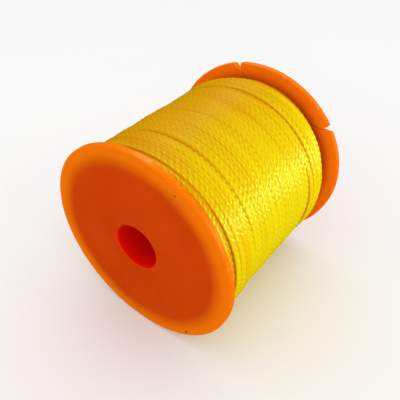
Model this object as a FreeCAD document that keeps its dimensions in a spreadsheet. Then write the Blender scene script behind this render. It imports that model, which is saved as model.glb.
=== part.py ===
"""Fishing line spool: two moulded flanges pressed into a barrel, wound with braided line.

Frame: the origin is the middle of the spool, on its axis. +Y runs along the axis from the plain
front flange to the notched rear flange, and +Z is up. The spool lies on its side, so both rims
rest on the ground. Lengths are in millimetres and angles in degrees. Angles round the spool
count from +X towards +Z.
"""

import FreeCAD, Part
import os
import Sketcher

V = FreeCAD.Vector

# Driving dimensions: alias, value, meaning.
SIZES = [
    ("overall_length", 70.0, "outer face of one flange to outer face of the other"),
    ("flange_diameter", 70.0, "both flanges"),
    ("flange_thickness", 2.2, "both flanges"),
    ("rim_round", 0.4, "rounding of each edge of a rim"),
    ("bore_diameter", 16.0, "spindle bore"),
    ("bore_round", 0.3, "rounding of the bore's mouth"),
    ("hub_wall", 1.5, "tube round the bore, moulded with each flange"),
    ("spigot_length", 4.0, "how far the front hub reaches into the rear hub"),
    ("spigot_wall", 0.7, "thin end of the front hub"),
    ("rib_height", 0.95, "ribs on each hub that grip the barrel"),
    ("barrel_wall", 1.5, "tube that the line is wound on"),
    ("seat_depth", 0.5, "groove in each flange that the barrel's end sits in"),
    ("play", 0.05, "radial gap between pieces that are pressed or wound together"),
    ("rib_count", 6, "on each hub"),
    ("rib_width", 1.2, "each rib"),
    ("rib_length", 9.0, "each rib, from the flange's outer face"),
    ("notch_mid_angle", 71.3, "middle of the pair of line notches"),
    ("notch_spread", 66.5, "angle between the two notches"),
    ("notch_mouth", 3.8, "notch at the rim"),
    ("notch_depth", 3.2, "rim to the start of the slit"),
    ("slit_width", 0.4, "slit that grips the line"),
    ("slit_reach", 3.0, "how much nearer the axis the slit's inner end lies"),
    ("slit_slant", 3.4, "how far the slit runs sideways"),
    ("line_diameter", 2.0, "braided line"),
    ("fill_level", 2.8, "how far the outside of the wound line lies below the rim"),
    ("winding_gap", 0.1, "between the wound line and each flange"),
    ("front_slope", 2.2, "width of the wound line's slope down to the front flange"),
    ("front_drop", 1.5, "how much nearer the axis the line lies at the front flange"),
    ("rear_slope", 7.0, "width of the wound line's slope down to the rear flange"),
    ("rear_drop", 4.0, "how much nearer the axis the line lies at the rear flange"),
    ("line_room", 0.25, "gap round the two ends of the line"),
    ("start_offset", 4.0, "start loop, from the winding's front end"),
    ("knot_width", 3.2, "start knot"),
    ("knot_lift", 0.2, "how much further from the barrel the knot lies than the loop"),
    ("knot_sweep", 16.0, "arc that the start knot takes"),
    ("end_offset", 4.2, "line's outer end, from the winding's front end"),
    ("end_angle", 230.0, "middle of the outer end"),
    ("end_sweep", 64.0, "arc of the outer end that shows"),
    ("end_lift", 0.3, "how far the outer end stands above the winding"),
]


class Size:
    """A length that carries its present value and the expression it comes from."""

    def __init__(self, value, text):
        self.value = value
        self.text = text

    def joined(self, sign, other, value):
        other_text = other.text if isinstance(other, Size) else str(other)
        return Size(value, f"({self.text} {sign} {other_text})")

    def __add__(self, other):
        return self.joined("+", other, self.value + plain(other))

    def __sub__(self, other):
        return self.joined("-", other, self.value - plain(other))

    def __mul__(self, other):
        return self.joined("*", other, self.value * plain(other))

    def __truediv__(self, other):
        return self.joined("/", other, self.value / plain(other))


def plain(length):
    return length.value if isinstance(length, Size) else float(length)


class Sizes:
    """The driving dimensions and the radii that follow from them."""

    def __init__(self):
        for alias, value, _ in SIZES:
            setattr(self, alias, Size(float(value), f"sizes.{alias}"))
        self.bore = self.bore_diameter / 2
        self.rim = self.flange_diameter / 2
        self.hub = self.bore + self.hub_wall
        self.spigot = self.bore + self.spigot_wall
        self.rib = self.hub + self.rib_height
        self.barrel_inside = self.rib + self.play
        self.barrel = self.barrel_inside + self.barrel_wall
        self.seat_floor = self.flange_thickness - self.seat_depth
        self.middle = self.overall_length / 2
        self.line = self.line_diameter / 2
        self.knot = self.knot_width / 2
        self.winding = self.rim - self.fill_level
        self.end_height = self.winding - self.line + self.end_lift
        self.winding_inside = self.barrel + self.play
        self.winding_width = self.overall_length - self.flange_thickness * 2 - self.winding_gap * 2
        self.winding_front = self.flange_thickness + self.winding_gap - self.middle


def make_sheet(doc):
    sheet = doc.addObject("Spreadsheet::Sheet", "sizes")
    for row, (alias, value, meaning) in enumerate(SIZES, start=1):
        sheet.set(f"A{row}", alias)
        sheet.set(f"B{row}", str(value))
        sheet.set(f"C{row}", meaning)
        sheet.setAlias(f"B{row}", alias)
    doc.recompute()


def origin_feature(body, role):
    return next(feature for feature in body.Origin.OriginFeatures if feature.Role == role)


def make_body(doc, name, along=None, angle=None):
    """A body, moved along the spool's axis and turned round it by bound amounts."""
    body = doc.addObject("PartDesign::Body", name)
    body.Label = name
    turn = plain(angle) if angle else 0.0
    shift = plain(along) if along else 0.0
    body.Placement = FreeCAD.Placement(V(0, shift, 0), FreeCAD.Rotation(V(0, 1, 0), turn))
    if along:
        body.setExpression("Placement.Base.y", along.text)
    if angle:
        body.setExpression("Placement.Rotation.Angle", angle.text)
    return body


def make_sketch(body, name, role, offset_axis=None, angle=None):
    """An empty sketch on an origin plane, turned about one of its own axes if that is asked."""
    sketch = body.newObject("Sketcher::SketchObject", name)
    sketch.AttachmentSupport = [(origin_feature(body, role), "")]
    sketch.MapMode = "FlatFace"
    if offset_axis:
        turn = FreeCAD.Rotation(V(*offset_axis), plain(angle))
        sketch.AttachmentOffset = FreeCAD.Placement(V(0, 0, 0), turn)
        if isinstance(angle, Size):
            sketch.setExpression("AttachmentOffset.Rotation.Angle", angle.text)
    return sketch


def bind_point(sketch, index, end, corner, tag):
    """Ties one point of the sketch to two lengths from the sketch's origin."""
    for kind, own_axis, length in zip(("DistanceX", "DistanceY"), (-2, -1), corner):
        if plain(length) == 0:
            sketch.addConstraint(Sketcher.Constraint("PointOnObject", index, end, own_axis))
            continue
        constraint = Sketcher.Constraint(kind, -1, 1, index, end, plain(length))
        number = sketch.addConstraint(constraint)
        if isinstance(length, Size):
            sketch.renameConstraint(number, f"{kind}_{tag}")
            sketch.setExpression(f"Constraints.{kind}_{tag}", length.text)


def draw_outline(sketch, corners):
    """A closed outline of straight edges through the corners, each bound to its lengths."""
    places = [V(plain(x), plain(y), 0) for x, y in corners]
    for start, end in zip(places, places[1:] + places[:1]):
        sketch.addGeometry(Part.LineSegment(start, end), False)
    for i in range(len(corners)):
        sketch.addConstraint(Sketcher.Constraint("Coincident", i, 2, (i + 1) % len(corners), 1))
    for i, corner in enumerate(corners):
        bind_point(sketch, i, 1, corner, i)


def draw_circle(sketch, centre, radius):
    place = V(plain(centre[0]), plain(centre[1]), 0)
    sketch.addGeometry(Part.Circle(place, V(0, 0, 1), plain(radius)), False)
    bind_point(sketch, 0, 3, centre, 0)
    number = sketch.addConstraint(Sketcher.Constraint("Radius", 0, plain(radius)))
    sketch.renameConstraint(number, "radius")
    sketch.setExpression("Constraints.radius", radius.text)


def revolve(body, sketch, kind="Revolution", sweep=None):
    """The sketch turned round the spool's axis: all the way, or by sweep, half to each side."""
    name = sketch.Name.replace("outline", kind.lower())
    feature = body.newObject(f"PartDesign::{kind}", name)
    feature.Profile = sketch
    feature.ReferenceAxis = (sketch, ["H_Axis"])
    feature.Angle = plain(sweep) if sweep else 360.0
    if sweep:
        feature.Midplane = True
        feature.setExpression("Angle", sweep.text)
    return feature


def round_edges(body, base, radius, wanted):
    """Rounds the base's circular edges that pass the test."""
    body.Document.recompute()
    names = []
    for number, edge in enumerate(base.Shape.Edges, start=1):
        if isinstance(edge.Curve, Part.Circle) and wanted(edge.Curve):
            names.append(f"Edge{number}")
    feature = body.newObject("PartDesign::Fillet", f"{body.Name}_{radius.text.split('.')[1]}")
    feature.Base = (base, names)
    feature.Radius = radius.value
    feature.setExpression("Radius", radius.text)
    return feature


def add_flange(body, size, hub_end, inward):
    """A flange with its hub. It starts at its outer face and is built in the inward direction."""
    flip = 0.0 if inward > 0 else 180.0
    corners = [
        (0, size.bore),
        (0, size.rim),
        (size.flange_thickness, size.rim),
        (size.flange_thickness, size.barrel + size.play),
        (size.seat_floor, size.barrel + size.play),
        (size.seat_floor, size.hub),
    ]
    sketch = make_sketch(body, f"{body.Name}_outline", "YZ_Plane", (0, 1, 0), flip)
    draw_outline(sketch, corners + hub_end)
    turned = revolve(body, sketch)
    rim = round_edges(body, turned, size.rim_round, lambda c: near(c.Radius, size.rim))
    mouth = round_edges(
        body, rim, size.bore_round, lambda c: near(c.Radius, size.bore) and near(c.Center.y, 0)
    )
    return add_ribs(body, size, mouth, inward)


def near(length, wanted):
    return abs(length - plain(wanted)) < 1e-4


def add_ribs(body, size, base, inward):
    """Ribs along the hub that fill the gap between it and the barrel."""
    half = size.rib_width / 2
    sketch = make_sketch(body, f"{body.Name}_rib_outline", "XZ_Plane")
    root = size.hub - size.play
    corners = [(half, root), (half, size.rib), (half * -1, size.rib), (half * -1, root)]
    draw_outline(sketch, corners)
    rib = body.newObject("PartDesign::Pad", f"{body.Name}_rib")
    rib.Profile = sketch
    rib.Reversed = inward > 0
    rib.setExpression("Length", size.rib_length.text)
    ribs = body.newObject("PartDesign::PolarPattern", f"{body.Name}_ribs")
    ribs.Originals = [rib]
    ribs.Axis = (origin_feature(body, "Y_Axis"), [""])
    ribs.Angle = 360.0
    ribs.setExpression("Occurrences", size.rib_count.text)
    body.Tip = ribs
    return ribs


def make_front_flange(doc, size):
    """Plain flange. Its hub ends in a thin spigot that centres the rear hub."""
    body = make_body(doc, "front_flange", along=size.middle * -1)
    spigot_tip = size.middle + size.spigot_length
    hub_end = [
        (size.middle, size.hub),
        (size.middle, size.spigot),
        (spigot_tip, size.spigot),
        (spigot_tip, size.bore),
    ]
    add_flange(body, size, hub_end, inward=1)


def make_rear_flange(doc, size):
    """Flange with two mirrored line notches. Its hub ends in a socket for the front spigot."""
    quarter_turn = Size(90.0, "90")
    body = make_body(doc, "rear_flange", size.middle, quarter_turn - size.notch_mid_angle)
    socket_floor = size.middle - size.spigot_length
    socket = size.spigot + size.play
    hub_end = [
        (size.middle, size.hub),
        (size.middle, socket),
        (socket_floor, socket),
        (socket_floor, size.bore),
    ]
    add_flange(body, size, hub_end, inward=-1)
    add_notches(body, size)


def add_notches(body, size):
    """A tapered mouth with one radial side, then a narrow slit slanting towards its twin."""
    throat = size.rim - size.notch_depth
    sketch = make_sketch(
        body, "notch_outline", "XZ_Plane", (0, 0, 1), size.notch_spread / 2 * -1
    )
    beyond = size.rim + 1
    draw_outline(
        sketch,
        [
            (0, beyond),
            (size.notch_mouth, beyond),
            (size.slit_width, throat),
            (size.slit_width - size.slit_slant, throat - size.slit_reach),
            (size.slit_slant * -1, throat - size.slit_reach + size.slit_width),
            (0, throat + size.slit_width),
        ],
    )
    notch = body.newObject("PartDesign::Pocket", "notch")
    notch.Profile = sketch
    notch.Type = "ThroughAll"
    notch.Midplane = True
    twin = body.newObject("PartDesign::Mirrored", "notches")
    twin.Originals = [notch]
    twin.MirrorPlane = (origin_feature(body, "YZ_Plane"), [""])
    body.Tip = twin


def make_barrel(doc, size):
    """Tube that the line is wound on, seated in both flanges."""
    body = make_body(doc, "barrel", along=size.seat_floor - size.middle)
    length = size.overall_length - size.seat_floor * 2
    sketch = make_sketch(body, "barrel_outline", "YZ_Plane")
    inside = size.barrel_inside
    draw_outline(sketch, [(0, inside), (0, size.barrel), (length, size.barrel), (length, inside)])
    revolve(body, sketch)


def make_winding(doc, size):
    """The wound line as one solid, with room for the start loop, its knot and the outer end."""
    body = make_body(doc, "line_winding", along=size.winding_front)
    inside = size.winding_inside
    width = size.winding_width
    sketch = make_sketch(body, "winding_outline", "YZ_Plane")
    draw_outline(
        sketch,
        [
            (0, inside),
            (0, size.winding - size.front_drop),
            (size.front_slope, size.winding),
            (width - size.rear_slope, size.winding),
            (width, size.winding - size.rear_drop),
            (width, inside),
        ],
    )
    revolve(body, sketch)
    cut_channel(body, size, "loop", size.line, size.line * 2, None)
    cut_channel(body, size, "knot", size.knot, size.knot * 2 + size.knot_lift, size.knot_sweep * 1.3)
    sketch = make_sketch(
        body, "tail_outline", "YZ_Plane", (1, 0, 0), Size(90.0, "90") - size.end_angle
    )
    draw_circle(sketch, (size.end_offset, size.end_height), size.line + size.line_room)
    revolve(body, sketch, "Groove", size.end_sweep * 1.1)


def cut_channel(body, size, name, half_width, height, sweep):
    """A square channel in the winding's inner wall, centred on the start loop."""
    reach = half_width + size.line_room
    top = size.winding_inside + height + size.line_room
    bottom = size.winding_inside - size.play
    front = size.start_offset - reach
    rear = size.start_offset + reach
    sketch = make_sketch(body, f"{name}_outline", "YZ_Plane")
    draw_outline(sketch, [(front, bottom), (front, top), (rear, top), (rear, bottom)])
    revolve(body, sketch, "Groove", sweep)


def make_start_loop(doc, size):
    """First turn of the line, tied round the barrel, with the bulge of its knot."""
    body = make_body(doc, "line_start_loop", along=size.winding_front)
    turns = (
        ("turn", size.line, size.winding_inside + size.line, None),
        ("bulge", size.knot, size.winding_inside + size.knot_lift + size.knot, size.knot_sweep),
    )
    for name, radius, height, sweep in turns:
        sketch = make_sketch(body, f"{name}_outline", "YZ_Plane")
        draw_circle(sketch, (size.start_offset, height), radius)
        revolve(body, sketch, "Revolution", sweep)


def make_outer_end(doc, size):
    """Cut end of the line, lying in the surface of the winding."""
    turn = Size(90.0, "90") - size.end_angle
    body = make_body(doc, "line_outer_end", size.winding_front, turn)
    sketch = make_sketch(body, "end_outline", "YZ_Plane")
    draw_circle(sketch, (size.end_offset, size.end_height), size.line)
    revolve(body, sketch, "Revolution", size.end_sweep)


def check(doc):
    for item in doc.Objects:
        if "Invalid" in item.State or "Error" in item.State:
            raise RuntimeError(f"{item.Label}: {item.State}")


def export_bodies(doc):
    os.makedirs("parts", exist_ok=True)
    for body in doc.Objects:
        if body.TypeId != "PartDesign::Body":
            continue
        shape = body.Shape
        if shape.isNull() or not shape.isValid() or len(shape.Solids) != 1:
            raise RuntimeError(f"{body.Label}: not one valid solid")
        shape.exportStep(f"parts/{body.Label}.step")
        box = shape.BoundBox
        print(f"{body.Label}: volume {shape.Volume:.1f}, y {box.YMin:.2f} to {box.YMax:.2f}")


def main():
    doc = FreeCAD.newDocument("fishing_line_spool")
    make_sheet(doc)
    size = Sizes()
    makers = (
        make_front_flange,
        make_rear_flange,
        make_barrel,
        make_winding,
        make_start_loop,
        make_outer_end,
    )
    for make in makers:
        make(doc, size)
        doc.recompute()
    check(doc)
    export_bodies(doc)


main()
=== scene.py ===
"""Fishing line spool, dressed for its picture: translucent orange flanges and real wraps of
yellow braided line, lying on its rims on a pale floor. Lengths are in metres.
"""

import math

import bpy
import numpy as np
from mathutils import Matrix, Vector


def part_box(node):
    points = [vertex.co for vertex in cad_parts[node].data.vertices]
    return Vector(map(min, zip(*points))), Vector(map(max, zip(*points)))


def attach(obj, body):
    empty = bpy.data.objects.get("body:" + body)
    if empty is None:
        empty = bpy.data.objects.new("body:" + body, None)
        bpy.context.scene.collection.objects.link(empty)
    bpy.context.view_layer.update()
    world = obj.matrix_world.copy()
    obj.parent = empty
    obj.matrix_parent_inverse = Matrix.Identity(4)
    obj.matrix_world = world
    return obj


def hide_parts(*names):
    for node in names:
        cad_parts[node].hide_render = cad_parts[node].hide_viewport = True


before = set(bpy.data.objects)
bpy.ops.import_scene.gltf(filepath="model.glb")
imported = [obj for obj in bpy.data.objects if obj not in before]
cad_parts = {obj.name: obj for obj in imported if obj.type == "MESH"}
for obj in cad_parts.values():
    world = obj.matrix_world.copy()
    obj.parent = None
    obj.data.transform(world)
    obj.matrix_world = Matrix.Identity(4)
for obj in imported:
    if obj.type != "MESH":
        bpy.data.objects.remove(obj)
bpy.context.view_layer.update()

MM = 0.001
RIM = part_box("front_flange")[1].x
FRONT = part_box("front_flange")[0].y
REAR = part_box("rear_flange")[1].y
FLANGE = 2.2 * MM

# The line, and how it is wound. Each wrap is laid as if it were LAID_WIDTH wide, but its mesh is
# LINE_WIDTH wide, so the sides of neighbouring wraps run about 0.9 mm into each other.
LINE_WIDTH = 3.0 * MM
LAID_WIDTH = 2.0 * MM
LINE_HEIGHT = 1.6 * MM
LINE_FLATNESS = 4.0
WRAP_PITCH = 2.06 * MM
PICK_LENGTH = 2.17 * MM
BRAID_ROWS = 6
BRAID_RELIEF = 0.28 * MM
BRAID_SLANT = 0.5

# The grid that remembers how high the line already lies, by angle and by place along the axis.
TURN_STEPS = 240
GRID = 0.05 * MM
LAYER_HEIGHT = 1.42 * MM

# How a wrap settles: how far it stands above its layer's smooth surface at most, how far it
# drops from one step to the next at most, and how far it presses into what lies below.
PROUD = 0.45 * MM
FALL = 0.035 * MM
PRESS = 0.1 * MM

# The outside of the winding: its depth below the rim, its lumps, the valleys that run round it
# as (share of the length, depth in mm), and how it drops at each flange as (drop, width) in mm.
SURFACE_DEPTH = 2.75 * MM
LUMP = 0.2 * MM
LUMP_WAVES = (1.5, 2.5, 4.0)
VALLEYS = ((0.2, 0.5), (0.46, 0.6), (0.74, 0.5))
VALLEY_WIDTH = 1.2 * MM
VALLEY_DRIFT = 1.6 * MM
FRONT_DROP = (1.9, 5.0)
REAR_DROP = (4.8, 9.0)

# The top layer aims to start and stop this far short of the flanges. It slides as it settles,
# and comes to rest nearer the front flange than it aims. Its cut end is on the hidden side.
SIDE_PLAY = 0.05 * MM
TOP_REAR_GAP = 1.2 * MM
TOP_FRONT_GAP = 3.3 * MM
CUT_END_ANGLE = 262

# The meshes of the line: spacing of the rings along it, the top layer's parts, rings in the tip.
UNDER_SPACING = 0.7 * MM
OVER_SPACING = 0.36 * MM
OVER_PARTS = 4
TIP_RINGS = 100
CORE_RADIUS = 24.5 * MM

# Colours of the braid, from between the picks to their tops. The lower two are painted shade: darker
# and more orange in the hollows between the picks.
BRAID_PAINTED_SHADE_DEEP = (0.76, 0.255, 0.001)
BRAID_PAINTED_SHADE_SIDE = (0.71, 0.33, 0.0014)
BRAID_TOP = (0.67, 0.385, 0.002)

# Colours of the plastic: each moulding's own two tones, painted light in the outer ring, painted red
# bounce light in the bore, dark specks, and patches of painted highlight on the rim's edge.
FLANGE_TONES = ((0.70, 0.070, 0.004), (0.66, 0.060, 0.0035))
BARREL_TONES = ((0.66, 0.07, 0.003), (0.58, 0.06, 0.002))
RIM_PAINTED_LIGHT = (0.90, 0.215, 0.003)
BORE_PAINTED_BOUNCE_RED = (0.90, 0.003, 0.0015)
SPECK = (0.10, 0.012, 0.002)
RIM_EDGE_PAINTED_HIGHLIGHT = (0.90, 0.42, 0.16)

# Where the plastic's tone changes, in shares of the rim's radius: the ring of painted light, the
# bore's painted bounce light and the rim edge's painted highlight.
GLOW_FROM, GLOW_TO = 0.80, 0.93
BORE_FROM, BORE_TO = 0.2295, 0.238
EDGE_FROM, EDGE_TO = 0.984, 0.992

# The lamps. They are tinted, and each key lights only the line or only the plastic.
LAMP_DISTANCE = 0.6
SKY_STRENGTH = 1.05
KEY_DIRECTION = (0.78, 0.6, 0.12)
FILL_DIRECTION = (-0.43, 0.59, 0.69)
LINE_KEY_TINT = (0.32, 1.0, 0.28)
PLASTIC_KEY_TINT = (1.0, 0.75, 0.3)
FILL_TINT = (0.6, 1.0, 0.5)

# The camera: angles in degrees, and its place right, up and back from the front face's middle,
# in rim radii.
CAMERA_TURN = 38.91
CAMERA_LIFT = 40.77
CAMERA_RIGHT, CAMERA_UP, CAMERA_BACK = 0.300, 0.392, 4.185
CAMERA_LENS = 42.34
CAMERA_SHIFT = (0.075, 0.0075)

FLOOR_HALF = 3.0


def smooth_noise(count, spacing, random):
    """count values of smooth noise from -1 to 1 with a new random value every spacing steps."""
    knots = random.uniform(-1, 1, int(count / spacing) + 4)
    places = np.arange(count) / spacing
    index = places.astype(int)
    blend = places - index
    blend = blend * blend * (3 - 2 * blend)
    return knots[index] * (1 - blend) + knots[index + 1] * blend


class Winder:
    """Lays line on the spool, a step at a time, where it would come to rest."""

    def __init__(self, front, rear):
        self.front = front
        count = int(round((rear - front) / GRID)) + 1
        self.along = front + np.arange(count) * GRID
        self.outside = outer_surface(self.along)
        self.height = self.outside - 3 * LAYER_HEIGHT
        self.reach = int(LAID_WIDTH / 2 / GRID)
        offsets = np.arange(-self.reach, self.reach + 1) * GRID / (LAID_WIDTH / 2)
        rise = np.clip(1 - np.abs(offsets) ** LINE_FLATNESS, 0, 1) ** (1 / LINE_FLATNESS)
        self.arch = LINE_HEIGHT / 2 * rise

    def rest_height(self, step, index):
        low = index - self.reach
        return np.max(self.height[step, low : low + len(self.arch)] + self.arch)

    def lay(self, start_turn, wanted, layers_above, pull=330.0):
        """Follows the wanted places along the axis and returns angle, place and height."""
        sunk = layers_above * LAYER_HEIGHT - PROUD + LINE_HEIGHT / 2
        lowest = self.reach
        highest = len(self.along) - 1 - self.reach
        path = []
        place = int(np.clip(round((wanted[0] - self.front) / GRID), lowest, highest))
        level = None
        for number, aim in enumerate(wanted):
            step = (int(round(start_turn * TURN_STEPS)) + number) % TURN_STEPS
            best = None
            for shift in (-1, 0, 1):
                index = min(max(place + shift, lowest), highest)
                rest = self.rest_height(step, index)
                miss = self.along[index] - aim
                cost = rest + pull * miss * miss
                if best is None or cost < best[0]:
                    best = (cost, index, rest)
            place = best[1]
            level = best[2] if level is None else max(best[2], level - FALL)
            level = min(level, self.outside[step, place] - sunk)
            low = place - self.reach
            span = self.height[step, low : low + len(self.arch)]
            np.maximum(span, level - PRESS + self.arch, out=span)
            angle = 2 * math.pi * (start_turn + number / TURN_STEPS)
            path.append((angle, self.along[place], level - PRESS))
        return np.array(path)


def blurred(values, reach):
    weights = np.exp(-0.5 * (np.arange(-3 * reach, 3 * reach + 1) / reach) ** 2)
    padded = np.pad(values, 3 * reach, mode="edge")
    return np.convolve(padded, weights / weights.sum(), mode="valid")


def outer_surface(along):
    """Gently lumpy outside of the winding, lower where it nears a flange."""
    random = np.random.default_rng(4)
    angles = np.arange(TURN_STEPS) / TURN_STEPS * 2 * math.pi
    share = (along - along[0]) / (along[-1] - along[0])
    level = np.full((TURN_STEPS, len(along)), RIM - SURFACE_DEPTH)
    for waves in LUMP_WAVES:
        turn = random.uniform(0, 2 * math.pi, 2)
        bend = LUMP / waves**0.5
        level += bend * np.sin(
            waves * 2 * math.pi * share[None, :] + turn[0] + np.sin(angles[:, None] + turn[1])
        )
    for place, depth in VALLEYS:
        drift = VALLEY_DRIFT * np.sin(angles + 9 * place)
        centre = along[0] + (along[-1] - along[0]) * place + drift
        apart = (along[None, :] - centre[:, None]) / VALLEY_WIDTH
        level -= depth * MM * np.exp(-apart * apart)
    for gap, (drop, width) in ((along - along[0], FRONT_DROP), (along[-1] - along, REAR_DROP)):
        sag = np.clip(1 - gap / (width * MM), 0, 1) ** 1.6 * drop * MM
        ripple = 1 + 0.2 * np.sin(3 * angles + 1.0)
        level -= sag[None, :] * ripple[:, None]
    return level


def wanted_places(start, stop, turns, random, stray):
    """Places along the axis for an uneven traverse from start to stop."""
    count = int(turns * TURN_STEPS)
    share = np.arange(count) / (count - 1)
    wobble = smooth_noise(count, TURN_STEPS * 0.37, random) * 0.45
    drift = smooth_noise(count, TURN_STEPS * 1.7, random)
    fade = np.minimum(1, np.minimum(share, 1 - share) * 14)
    return start + (stop - start) * share + stray * fade * (wobble + drift)


def wind():
    """The two outer layers of line: (under, over), each with angle, place and height."""
    random = np.random.default_rng(11)
    front = FRONT + FLANGE + SIDE_PLAY
    rear = REAR - FLANGE - SIDE_PLAY
    winder = Winder(front, rear)
    half = LAID_WIDTH / 2
    across = rear - front - LAID_WIDTH
    turns = across / WRAP_PITCH
    first = wanted_places(rear - half, front + half, turns, random, 0.9 * MM)
    winder.lay(0.3, first, 2)
    turn = 0.3 + len(first) / TURN_STEPS
    second = wanted_places(front + half, rear - half, turns, random, 1.1 * MM)
    under = winder.lay(turn, second, 1)
    turn += len(second) / TURN_STEPS
    top_start = rear - half - TOP_REAR_GAP
    top_stop = front + half + TOP_FRONT_GAP
    turns = (top_start - top_stop) / WRAP_PITCH
    end_turn = round(turn + turns) + CUT_END_ANGLE / 360
    third = wanted_places(top_start, top_stop, end_turn - turn, random, 1.5 * MM)
    over = winder.lay(turn, third, 0)
    for path in (under, over):
        path[:, 1] = blurred(path[:, 1], 5)
        path[:, 2] = blurred(path[:, 2], 3)
    return under, over


def pick_relief(run, share):
    """Height of the braid from 0 to 1: rows of slanting picks, each row half a pick on."""
    row = share * BRAID_ROWS
    number = np.floor(row)
    across = row - number - 0.5
    lean = np.where(number % 2 == 0, 1.0, -1.0)
    along = run / PICK_LENGTH + lean * across * BRAID_SLANT + 0.5 * (number % 2)
    along = along - np.floor(along)
    rise = np.clip(np.sin(math.pi * along), 0, 1)
    side = np.cos(math.pi * across) ** 0.6
    return rise * side


def resampled(path, spacing):
    """The path at even steps of its own length: angle, place, height and run."""
    step = np.hypot(np.diff(path[:, 0]) * path[1:, 2], np.diff(path[:, 1]))
    run = np.concatenate([[0], np.cumsum(step)])
    at = np.linspace(0, run[-1], int(run[-1] / spacing) + 1)
    columns = [np.interp(at, run, path[:, i]) for i in range(3)]
    return np.stack(columns + [at], 1)


def line_section(shares):
    """Outline of the squashed line at shares of its way round, from its outermost point."""
    turn = np.linspace(0, 2 * math.pi, 721)
    power = 2 / LINE_FLATNESS
    rise = np.sign(np.cos(turn)) * np.abs(np.cos(turn)) ** power * LINE_HEIGHT / 2
    spread = np.sign(np.sin(turn)) * np.abs(np.sin(turn)) ** power * LINE_WIDTH / 2
    run = np.concatenate([[0], np.cumsum(np.hypot(np.diff(rise), np.diff(spread)))])
    way = (shares % 1) * run[-1]
    return np.interp(way, run, rise), np.interp(way, run, spread)


def line_rings(points, shares, twist, ends):
    """Ring vertices and their relief for a stretch of line along the points."""
    angle, place, height, run = points.T
    outward = np.stack([np.cos(angle), np.zeros_like(angle), np.sin(angle)], 1)
    centre = outward * height[:, None]
    centre[:, 1] = place
    along = np.gradient(centre, axis=0)
    along /= np.linalg.norm(along, axis=1)[:, None]
    side = np.cross(along, outward)
    relief = pick_relief(run[:, None], shares[None, :] + twist[:, None])
    face = np.clip(np.cos(2 * math.pi * shares), 0, 1) ** 1.2
    grow = 1 + (relief - 0.62) * face[None, :] * BRAID_RELIEF / (LINE_HEIGHT / 2)
    grow *= ends[:, None]
    rise, spread = (way[None, :] * grow for way in line_section(shares))
    rings = centre[:, None] + outward[:, None] * rise[..., None] + side[:, None] * spread[..., None]
    return rings, relief


def ring_faces(rings, around):
    """Quads between one ring and the next, all the way along."""
    here = np.arange(rings - 1)[:, None] * around + np.arange(around)[None, :]
    beside = np.arange(rings - 1)[:, None] * around + (np.arange(around)[None, :] + 1) % around
    return np.stack([here, beside, beside + around, here + around], -1).reshape(-1, 4)


def mesh_object(name, verts, faces, ends=()):
    """A smooth mesh of quads, closed at each end by one many-sided face."""
    mesh = bpy.data.meshes.new(name)
    loops = np.concatenate([faces.ravel()] + [np.asarray(end) for end in ends])
    sizes = [4] * len(faces) + [len(end) for end in ends]
    starts = np.concatenate([[0], np.cumsum(sizes)[:-1]])
    mesh.vertices.add(len(verts))
    mesh.vertices.foreach_set("co", verts.ravel())
    mesh.loops.add(len(loops))
    mesh.loops.foreach_set("vertex_index", loops.astype(np.int32))
    mesh.polygons.add(len(sizes))
    mesh.polygons.foreach_set("loop_start", starts.astype(np.int32))
    mesh.update(calc_edges=True)
    mesh.validate()
    mesh.shade_smooth()
    made = bpy.data.objects.new(name, mesh)
    bpy.context.scene.collection.objects.link(made)
    return made


def add_map(made, rings, around, points):
    """UV map in millimetres: along the line and round it."""
    uv = made.data.uv_layers.new(name="line")
    index = np.zeros(len(made.data.loops), np.int32)
    made.data.loops.foreach_get("vertex_index", index)
    ring = np.minimum(index // around, rings - 1)
    place = np.stack([points[ring, 3] / MM, (index % around) / around * 6.3], 1)
    uv.data.foreach_set("uv", place.astype(np.float32).ravel())


def line_piece(name, points, shares, material, sealed=False):
    """A closed stretch of braided line. A sealed one has a melted, rounded tip at its end."""
    twist = 0.06 * np.sin(points[:, 3] * 31.0) + 0.05 * np.sin(points[:, 3] * 13.7)
    ends = np.ones(len(points))
    if sealed:
        left = np.clip((points[-1, 3] - points[:, 3]) / (1.2 * MM), 0, 1)
        ends = np.sqrt(np.clip(1 - (1 - left) ** 2, 0.02, 1))
    rings, relief = line_rings(points, shares, twist, ends)
    count = len(points)
    around = len(shares)
    first = np.arange(around)[::-1]
    last = (count - 1) * around + np.arange(around)
    made = mesh_object(name, rings.reshape(-1, 3), ring_faces(count, around), (first, last))
    height = made.data.attributes.new("pick", "FLOAT", "POINT")
    height.data.foreach_set("value", relief.astype(np.float32).ravel())
    add_map(made, count, around, points)
    made.data.materials.append(material)
    return made


def fine_shares():
    """Shares of the way round the line: close together outside, a few on the hidden side."""
    return np.concatenate([np.linspace(-0.29, 0.29, 15), [0.4, 0.5, 0.6]])


def coarse_shares():
    return np.concatenate([np.linspace(-0.25, 0.25, 7), [0.4, 0.6]])


def make_core(material, radius):
    """Solid stand-in for the buried layers of line, from the barrel out to the lowest wraps."""
    low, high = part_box("line_winding")
    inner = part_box("barrel")[1].x + 0.05 * MM
    around = 180
    angle = np.arange(around) / around * 2 * math.pi
    corners = [(inner, low.y), (radius, low.y), (radius, high.y), (inner, high.y)]
    rings = []
    for reach, along in corners:
        ring = [reach * np.cos(angle), np.full(around, along), reach * np.sin(angle)]
        rings.append(np.stack(ring, 1))
    verts = np.concatenate(rings)
    quads = []
    for here in range(4):
        beyond = (here + 1) % 4
        a = here * around + np.arange(around)
        b = here * around + (np.arange(around) + 1) % around
        c = beyond * around + (np.arange(around) + 1) % around
        d = beyond * around + np.arange(around)
        quads.append(np.stack([a, d, c, b], 1))
    made = mesh_object("line_core", verts, np.concatenate(quads))
    height = made.data.attributes.new("pick", "FLOAT", "POINT")
    height.data.foreach_set("value", np.full(len(verts), 0.3, np.float32))
    made.data.uv_layers.new(name="line")
    made.data.materials.append(material)
    return made


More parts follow.
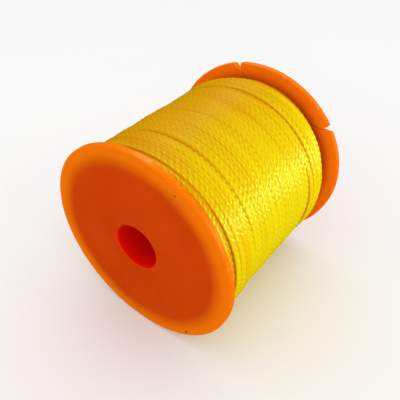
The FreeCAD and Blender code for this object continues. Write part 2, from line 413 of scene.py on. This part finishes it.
class Nodes:
    """A material's node tree with short calls to add and join nodes."""

    def __init__(self, name):
        self.material = bpy.data.materials.new(name)
        self.material.use_nodes = True
        self.tree = self.material.node_tree
        self.shader = self.tree.nodes["Principled BSDF"]

    def add(self, kind, **settings):
        node = self.tree.nodes.new(kind)
        for key, value in settings.items():
            setattr(node, key, value)
        return node

    def join(self, source, target):
        self.tree.links.new(source, target)

    def noise(self, vector, scale, detail=3.0, roughness=0.5):
        node = self.add("ShaderNodeTexNoise")
        node.inputs["Scale"].default_value = scale
        node.inputs["Detail"].default_value = detail
        node.inputs["Roughness"].default_value = roughness
        self.join(vector, node.inputs["Vector"])
        return node.outputs["Fac"]

    def stretch(self, vector, scale):
        node = self.add("ShaderNodeMapping")
        node.inputs["Scale"].default_value = scale
        self.join(vector, node.inputs["Vector"])
        return node.outputs["Vector"]

    def ramp(self, value, *stops):
        node = self.add("ShaderNodeValToRGB")
        ramp = node.color_ramp
        while len(ramp.elements) < len(stops):
            ramp.elements.new(0.5)
        for element, (place, colour) in zip(ramp.elements, stops):
            element.position = place
            element.color = colour if len(colour) == 4 else (*colour, 1)
        self.join(value, node.inputs["Fac"])
        return node.outputs["Color"]

    def math(self, operation, first, second):
        node = self.add("ShaderNodeMath", operation=operation)
        for socket, value in zip(node.inputs, (first, second)):
            if isinstance(value, (int, float)):
                socket.default_value = value
            else:
                self.join(value, socket)
        return node.outputs[0]

    def mix(self, share, first, second, blend="MIX"):
        node = self.add("ShaderNodeMix", data_type="RGBA", blend_type=blend)
        for key, value in (("Factor", share), ("A", first), ("B", second)):
            socket = next(i for i in node.inputs if i.name == key and i.enabled)
            if isinstance(value, (int, float)):
                socket.default_value = value
            elif isinstance(value, tuple):
                socket.default_value = (*value, 1)
            else:
                self.join(value, socket)
        return next(o for o in node.outputs if o.enabled)

    def bump(self, height, strength, distance, under=None):
        node = self.add("ShaderNodeBump")
        node.inputs["Strength"].default_value = strength
        node.inputs["Distance"].default_value = distance
        self.join(height, node.inputs["Height"])
        if under:
            self.join(under, node.inputs["Normal"])
        return node.outputs["Normal"]

    def set(self, **values):
        for key, value in values.items():
            self.shader.inputs[key.replace("_", " ")].default_value = value


def grey(value):
    return (value, value, value)


def line_material():
    """Yellow braid: glossy picks with fine filaments along them, and painted shade, a deeper orange,
    between them.
    """
    nodes = Nodes("braided_line")
    uv = nodes.add("ShaderNodeUVMap", uv_map="line").outputs["UV"]
    here = nodes.add("ShaderNodeTexCoord").outputs["Object"]
    pick = nodes.add("ShaderNodeAttribute", attribute_name="pick").outputs["Fac"]
    # Painted shade: the colour turns darker and more orange from the picks' tops down into the
    # hollows between them.
    depth = nodes.ramp(
        pick,
        (0.0, BRAID_PAINTED_SHADE_DEEP),
        (0.4, BRAID_PAINTED_SHADE_SIDE),
        (1.0, BRAID_TOP),
    )
    bands = nodes.noise(nodes.stretch(here, (14.0, 230.0, 14.0)), 1.0, 2.0)
    tone = nodes.ramp(bands, (0.30, (0.96, 0.74, 0.6)), (0.42, (0.99, 0.95, 0.9)), (0.58, grey(1.0)))
    colour = nodes.mix(1.0, depth, tone, "MULTIPLY")
    # Painted shade: thin rings round the winding, darker and more orange, stand in for shaded grooves
    # between wraps.
    groove_shade_noise = nodes.noise(nodes.stretch(here, (9.0, 430.0, 9.0)), 1.0, 1.0)
    painted_groove_shade = nodes.ramp(groove_shade_noise, (0.27, (0.93, 0.68, 0.6)), (0.36, grey(1.0)))
    colour = nodes.mix(1.0, colour, painted_groove_shade, "MULTIPLY")
    threads = nodes.noise(nodes.stretch(uv, (1.2, 16.0, 1.0)), 1.0, 3.0, 0.6)
    strand = nodes.ramp(threads, (0.35, grey(0.88)), (0.65, grey(1.0)))
    colour = nodes.mix(0.6, colour, strand, "MULTIPLY")
    nodes.join(colour, nodes.shader.inputs["Base Color"])
    rough = nodes.ramp(threads, (0.3, grey(0.24)), (0.7, grey(0.14)))
    nodes.join(rough, nodes.shader.inputs["Roughness"])
    normal = nodes.bump(threads, 0.6, 0.06 * MM)
    nodes.join(normal, nodes.shader.inputs["Normal"])
    nodes.set(Subsurface_Weight=0.15, Subsurface_Scale=0.25 * MM)
    nodes.shader.inputs["Subsurface Radius"].default_value = (1.0, 0.8, 0.3)
    nodes.set(Specular_IOR_Level=0.075, Specular_Tint=(1.0, 0.95, 0.45, 1))
    return nodes.material


def radius_from_axis(nodes, here):
    flat = nodes.add("ShaderNodeVectorMath", operation="MULTIPLY")
    flat.inputs[1].default_value = (1, 0, 1)
    nodes.join(here, flat.inputs[0])
    reach = nodes.add("ShaderNodeVectorMath", operation="LENGTH")
    nodes.join(flat.outputs[0], reach.inputs[0])
    return reach.outputs["Value"]


def plastic_material(name, colour, dark):
    """Translucent orange moulding: faint flow marks, fine scratches, specks and a soft gloss, with
    painted light in the outer ring, painted red bounce light in the bore and a painted highlight on
    the rim's edge.
    """
    nodes = Nodes(name)
    here = nodes.add("ShaderNodeTexCoord").outputs["Object"]
    flow = nodes.noise(here, 60.0, 4.0, 0.55)
    tone = nodes.mix(nodes.ramp(flow, (0.35, grey(0.0)), (0.65, grey(1.0))), dark, colour)
    reach = radius_from_axis(nodes, here)
    # Painted light: beyond the wound line the ring is painted lighter and yellower, as if lit through
    # from behind. The same mask limits where the specks fall.
    clear = nodes.ramp(nodes.math("DIVIDE", reach, RIM), (GLOW_FROM, grey(0.0)), (GLOW_TO, grey(1.0)))
    tone = nodes.mix(clear, tone, RIM_PAINTED_LIGHT)
    # Painted bounce light: the bore's wall is painted deep red, the colour light takes on after
    # bouncing inside it.
    bore = nodes.ramp(nodes.math("DIVIDE", reach, RIM), (BORE_FROM, grey(1.0)), (BORE_TO, grey(0.0)))
    tone = nodes.mix(bore, tone, BORE_PAINTED_BOUNCE_RED)
    grain = nodes.noise(here, 2600.0, 2.0)
    tone = nodes.mix(0.5, tone, nodes.ramp(grain, (0.3, grey(0.86)), (0.7, grey(1.0))), "MULTIPLY")
    specks = nodes.noise(here, 420.0, 1.0)
    speck = nodes.ramp(specks, (0.775, grey(0.0)), (0.79, grey(1.0)))
    tone = nodes.mix(nodes.math("MULTIPLY", speck, clear), tone, SPECK)
    # Painted highlight: patches of pale orange along the rim's outer edge.
    edge = nodes.ramp(nodes.math("DIVIDE", reach, RIM), (EDGE_FROM, grey(0.0)), (EDGE_TO, grey(1.0)))
    rim_highlight_patches = nodes.ramp(nodes.noise(here, 260.0, 3.0), (0.60, grey(0.0)), (0.70, grey(0.35)))
    tone = nodes.mix(nodes.math("MULTIPLY", edge, rim_highlight_patches), tone, RIM_EDGE_PAINTED_HIGHLIGHT)
    nodes.join(tone, nodes.shader.inputs["Base Color"])
    scratch = nodes.noise(nodes.stretch(here, (1.0, 1.0, 14.0)), 500.0, 3.0, 0.65)
    rough = nodes.ramp(scratch, (0.35, grey(0.3)), (0.75, grey(0.46)))
    nodes.join(rough, nodes.shader.inputs["Roughness"])
    skin = nodes.noise(here, 1500.0, 3.0)
    normal = nodes.bump(skin, 0.12, 0.1 * MM)
    normal = nodes.bump(scratch, 0.1, 0.03 * MM, normal)
    nodes.join(normal, nodes.shader.inputs["Normal"])
    nodes.set(Subsurface_Weight=1.0, Subsurface_Scale=2.0 * MM, Specular_Tint=(1.0, 0.35, 0.06, 1))
    nodes.shader.inputs["Subsurface Radius"].default_value = (1.0, 0.28, 0.03)
    return nodes.material


def floor_material():
    nodes = Nodes("floor")
    here = nodes.add("ShaderNodeTexCoord").outputs["Object"]
    tone = nodes.ramp(nodes.noise(here, 8.0), (0.3, grey(0.93)), (0.7, grey(0.95)))
    nodes.join(tone, nodes.shader.inputs["Base Color"])
    nodes.set(Roughness=0.8)
    return nodes.material


def make_floor():
    half = FLOOR_HALF
    z = -RIM
    corners = np.array([(-half, -half, z), (half, -half, z), (half, half, z), (-half, half, z)])
    floor = mesh_object("floor", corners, np.array([[0, 1, 2, 3]]))
    floor.data.materials.append(floor_material())
    floor.visible_glossy = False
    return floor


def dress_flanges():
    orange = plastic_material("flange_plastic", *FLANGE_TONES)
    inner = plastic_material("barrel_plastic", *BARREL_TONES)
    for name, material in (("front_flange", orange), ("rear_flange", orange), ("barrel", inner)):
        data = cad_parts[name].data
        data.materials.clear()
        data.materials.append(material)


def make_line():
    """The two outer layers in pieces, the buried core and the cut end. Returns them all."""
    yellow = line_material()
    under, over = wind()
    core = make_core(yellow, CORE_RADIUS)
    pieces = [core]
    under = resampled(under, UNDER_SPACING)
    pieces.append(line_piece("line_under_layer", under, coarse_shares(), yellow))
    over = resampled(over, OVER_SPACING)
    body = len(over) - TIP_RINGS
    for number in range(OVER_PARTS):
        first = body * number // OVER_PARTS
        last = body * (number + 1) // OVER_PARTS
        name = f"line_over_layer_{number + 1}"
        pieces.append(line_piece(name, over[first : last + 1], fine_shares(), yellow))
    tip = line_piece("line_cut_end", over[body:], fine_shares(), yellow, sealed=True)
    for piece in pieces:
        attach(piece, "root")
        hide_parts("line_winding")
    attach(tip, "root")
    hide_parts("line_outer_end")
    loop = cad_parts["line_start_loop"].data
    loop.materials.clear()
    loop.materials.append(yellow)
    return pieces + [tip]


def make_camera():
    """The viewpoint: above and to the right of the front flange, with an off-centre frame."""
    turn = math.radians(CAMERA_TURN)
    lift = math.radians(CAMERA_LIFT)
    back = Vector(
        (math.sin(turn) * math.cos(lift), -math.cos(turn) * math.cos(lift), math.sin(lift))
    )
    right = Vector((math.cos(turn), math.sin(turn), 0))
    up = back.cross(right)
    away = right * CAMERA_RIGHT + up * CAMERA_UP + back * CAMERA_BACK
    place = Vector((0, FRONT, 0)) + away * RIM
    data = bpy.data.cameras.new("camera")
    data.lens = CAMERA_LENS
    data.sensor_width = 36
    data.shift_x, data.shift_y = CAMERA_SHIFT
    data.clip_start = 0.01
    camera = bpy.data.objects.new("camera", data)
    turned = Matrix((right, up, back)).transposed().to_4x4()
    camera.matrix_world = Matrix.Translation(place) @ turned
    bpy.context.scene.collection.objects.link(camera)
    bpy.context.scene.camera = camera


def area_light(name, direction, size, power, colour, unlit):
    """A round lamp aimed at the spool. Light linking keeps its light off the unlit objects."""
    data = bpy.data.lights.new(name, "AREA")
    data.shape = "DISK"
    data.size = size
    data.energy = power
    data.color = colour
    lamp = bpy.data.objects.new(name, data)
    away = Vector(direction).normalized()
    lamp.location = away * LAMP_DISTANCE
    lamp.rotation_mode = "QUATERNION"
    lamp.rotation_quaternion = away.to_track_quat("Z", "Y")
    bpy.context.scene.collection.objects.link(lamp)
    skipped = bpy.data.collections.new(name + "_flag")
    for thing in unlit:
        skipped.objects.link(thing)
    for entry in skipped.collection_objects:
        entry.light_linking.link_state = "EXCLUDE"
    lamp.light_linking.receiver_collection = skipped


def make_light(floor, line):
    """White surroundings that cast no reflections, and three tinted lamps from the rear.

    One key lights only the line and the other only the plastic. The fill lights both, and
    none of the three lights the floor.
    """
    world = bpy.data.worlds.new("studio")
    world.use_nodes = True
    sky = world.node_tree.nodes["Background"]
    sky.inputs["Color"].default_value = (1, 1, 1, 1)
    sky.inputs["Strength"].default_value = SKY_STRENGTH
    world.cycles_visibility.glossy = False
    bpy.context.scene.world = world
    plastic = [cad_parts[name] for name in ("front_flange", "rear_flange", "barrel")]
    area_light("key_line", KEY_DIRECTION, 0.16, 6.6, LINE_KEY_TINT, [floor] + plastic)
    area_light("key_plastic", KEY_DIRECTION, 0.2, 1.3, PLASTIC_KEY_TINT, [floor] + line)
    area_light("fill_rear_left", FILL_DIRECTION, 0.12, 0.7, FILL_TINT, [floor])
    bpy.context.scene.view_settings.view_transform = "Standard"


make_camera()
dress_flanges()
make_light(make_floor(), make_line())
